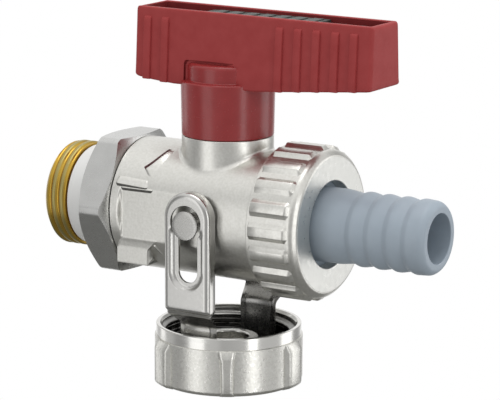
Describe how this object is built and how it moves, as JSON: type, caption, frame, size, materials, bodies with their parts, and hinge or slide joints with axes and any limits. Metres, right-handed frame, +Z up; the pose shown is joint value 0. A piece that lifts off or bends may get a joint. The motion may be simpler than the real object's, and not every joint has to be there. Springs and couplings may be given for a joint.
{
  "type": "ball drain cock",
  "caption": "Ball drain cock with a lever handle, a threaded inlet with sealing ring, a straight hose union and a screw cap that hangs from a slotted strap.",
  "frame": {"origin": "on the axis of the water way, in the plane of the hexagon's sealing face", "axes": "+X along the water way towards the hose tail, +Z up along the spindle, and -Y towards the front"},
  "size_m": [0.0823, 0.0326, 0.0729],
  "materials": {
    "cast_nickel": "blasted and nickel plated",
    "turned_nickel": "turned and nickel plated, with the thread left bare",
    "chrome_ball": "polished and chrome plated",
    "bare_brass": "turned",
    "strap_steel": "bright stainless sheet",
    "screw_steel": "zinc plated",
    "red_plastic": "moulded, satin",
    "grey_plastic": "moulded, matt",
    "blue_grey_plastic": "moulded, satin",
    "white_plastic": "turned, matt",
    "black_rubber": "moulded"
  },
  "bodies": {
    "valve": {"valve_body": "cast_nickel", "end_connector": "turned_nickel", "thread_seal_ring": "white_plastic", "ball_seat_inlet": "white_plastic", "ball_seat_outlet": "white_plastic"},
    "handle": {"handle": "red_plastic", "handle_insert": "grey_plastic", "handle_screw": "screw_steel", "stem": "bare_brass", "stem_washer": "white_plastic", "stem_o_ring_lower": "black_rubber", "stem_o_ring_upper": "black_rubber", "ball": "chrome_ball"},
    "tail": {"hose_tail": "blue_grey_plastic", "hose_gasket": "black_rubber"},
    "nut": {"hose_nut": "cast_nickel"},
    "pins": {"strap_pin_front": "turned_nickel", "strap_pin_rear": "turned_nickel"},
    "strap": {"strap": "strap_steel"},
    "cap": {"cap": "cast_nickel", "cap_gasket": "black_rubber", "strap_rivet": "turned_nickel"}
  },
  "joints": [
    {"name": "handle_turn", "type": "hinge", "parent": "valve", "child": "handle", "pos_m": [0.0263, 0, 0.02], "axis": [0, 0, -1], "range_deg": [0, 90]},
    {"name": "strap_swing", "type": "hinge", "parent": "valve", "child": "pins", "pos_m": [0.0266, 0, 0], "axis": [0, 1, 0], "range_deg": [-12, 15]},
    {"name": "strap_slide", "type": "slide", "parent": "pins", "child": "strap", "axis": [0, 0, 1], "range_m": [-0.0018, 0.003]},
    {"name": "cap_spin", "type": "hinge", "parent": "strap", "child": "cap", "pos_m": [0.0266, 0, -0.03], "axis": [0, 0, 1], "continuous": true},
    {"name": "tail_slide", "type": "slide", "parent": "valve", "child": "tail", "axis": [1, 0, 0], "range_m": [0, 0.0073]},
    {"name": "nut_turn", "type": "hinge", "parent": "tail", "child": "nut", "pos_m": [0.0443, 0, 0], "axis": [1, 0, 0], "range_deg": [0, 1440]}
  ],
  "couplings": [
    {"joint": "tail_slide", "follows": "nut_turn", "m_per_rad": 0.00028871}
  ]
}
